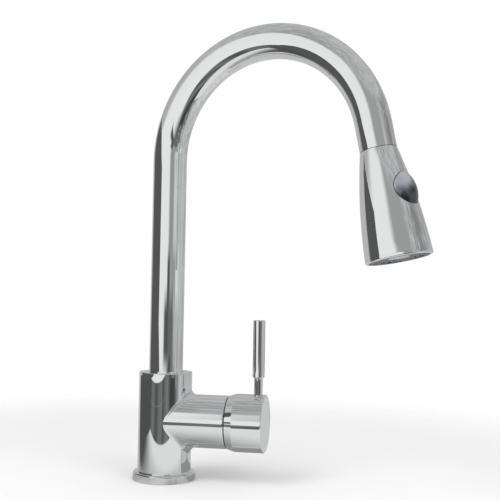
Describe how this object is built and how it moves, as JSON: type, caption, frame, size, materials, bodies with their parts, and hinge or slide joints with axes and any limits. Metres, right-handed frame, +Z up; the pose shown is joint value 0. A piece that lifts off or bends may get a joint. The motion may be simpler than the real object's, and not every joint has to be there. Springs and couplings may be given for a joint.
{
  "type": "pull-out kitchen faucet",
  "caption": "Chrome gooseneck kitchen faucet with a swivel spout, pull-out spray head with push button, and a side lever on a ceramic-disc mixing valve.",
  "frame": {"origin": "centre of the base on the worktop's upper face", "axes": "+Z up, +X along the valve branch towards the lever; at rest the spout points 17 degrees from +X towards -Y"},
  "size_m": [0.2426, 0.1095, 0.425],
  "materials": {
    "polished_chrome": "mirror-polished plating",
    "bare_brass": "machined, bare",
    "plain_steel": "bright zinc or stainless",
    "black_rubber": "matt moulded rubber",
    "white_acetal": "moulded acetal",
    "disc_ceramic": "lapped alumina",
    "face_plastic": "dark moulded plastic",
    "soft_silicone": "grey silicone",
    "screen_plastic": "grey moulded plastic",
    "button_gloss": "glossy dark grey",
    "hose_sheath": "braided nylon sheath"
  },
  "bodies": {
    "base": {"valve_body": "polished_chrome", "base_flange": "polished_chrome", "base_seal": "black_rubber", "fixing_studs": "plain_steel", "clamp_pad": "black_rubber", "clamp_plate": "plain_steel", "stud_nuts": "plain_steel", "swivel_washer": "white_acetal", "swivel_bush": "white_acetal", "spout_collar": "polished_chrome", "spout_set_screw": "plain_steel", "cartridge_base": "white_acetal", "cartridge_seals": "black_rubber", "cartridge_shell": "white_acetal", "fixed_disc": "disc_ceramic", "retaining_nut": "bare_brass", "bonnet": "polished_chrome"},
    "spout": {"spout_tube": "polished_chrome", "spout_ferrule": "bare_brass", "spout_o_rings": "black_rubber", "docking_bush": "white_acetal", "pull_hose": "hose_sheath", "hose_tail_fitting": "bare_brass"},
    "mixer": {"cartridge_rotor": "white_acetal", "pivot_pin": "plain_steel"},
    "flow_disc": {"moving_disc": "disc_ceramic", "disc_carrier": "white_acetal"},
    "handle": {"cartridge_stem": "plain_steel", "handle_cap": "polished_chrome", "lever_rod": "polished_chrome", "lever_grip": "polished_chrome", "handle_set_screw": "plain_steel", "handle_plug": "polished_chrome"},
    "hose_end": {"hose_fitting": "bare_brass", "hose_ferrule": "plain_steel"},
    "spray_head": {"head_shell": "polished_chrome", "head_core": "white_acetal", "inlet_washer": "black_rubber", "check_valve": "white_acetal", "spray_face": "face_plastic", "spray_nozzles": "soft_silicone", "aerator": "screen_plastic", "face_ring": "polished_chrome", "button_spring": "plain_steel"},
    "button": {"spray_button": "button_gloss", "diverter_pin": "white_acetal"}
  },
  "joints": [
    {"name": "spout_swivel", "type": "hinge", "parent": "base", "child": "spout", "pos_m": [0, 0, 0.0748], "axis": [0, 0, 1], "continuous": true},
    {"name": "temperature_turn", "type": "hinge", "parent": "base", "child": "mixer", "pos_m": [0.034, 0, 0.0485], "axis": [1, 0, 0], "range_deg": [-45, 45]},
    {"name": "flow_lift", "type": "hinge", "parent": "mixer", "child": "handle", "pos_m": [0.034, 0, 0.0485], "axis": [0, 1, 0], "range_deg": [0, 20]},
    {"name": "disc_slide", "type": "slide", "parent": "mixer", "child": "flow_disc", "axis": [0, 0, 1], "range_m": [0, 0.00165]},
    {"name": "pull_out", "type": "slide", "parent": "spout", "child": "hose_end", "axis": [0.1939, -0.0593, -0.9792], "range_m": [0, 0.17], "stiffness_N_per_m": 20, "springref_m": -0.3, "deforming": ["pull_hose"]},
    {"name": "head_turn", "type": "hinge", "parent": "hose_end", "child": "spray_head", "pos_m": [0.17631, -0.0539, 0.26239], "axis": [0.1939, -0.0593, -0.9792], "continuous": true},
    {"name": "button_press", "type": "slide", "parent": "spray_head", "child": "button", "axis": [-0.7676, 0.555, -0.3207], "range_m": [0, 0.002], "stiffness_N_per_m": 300, "springref_m": -0.004, "deforming": ["button_spring"]}
  ],
  "couplings": [
    {"joint": "disc_slide", "follows": "flow_lift", "m_per_rad": 0.0047}
  ]
}
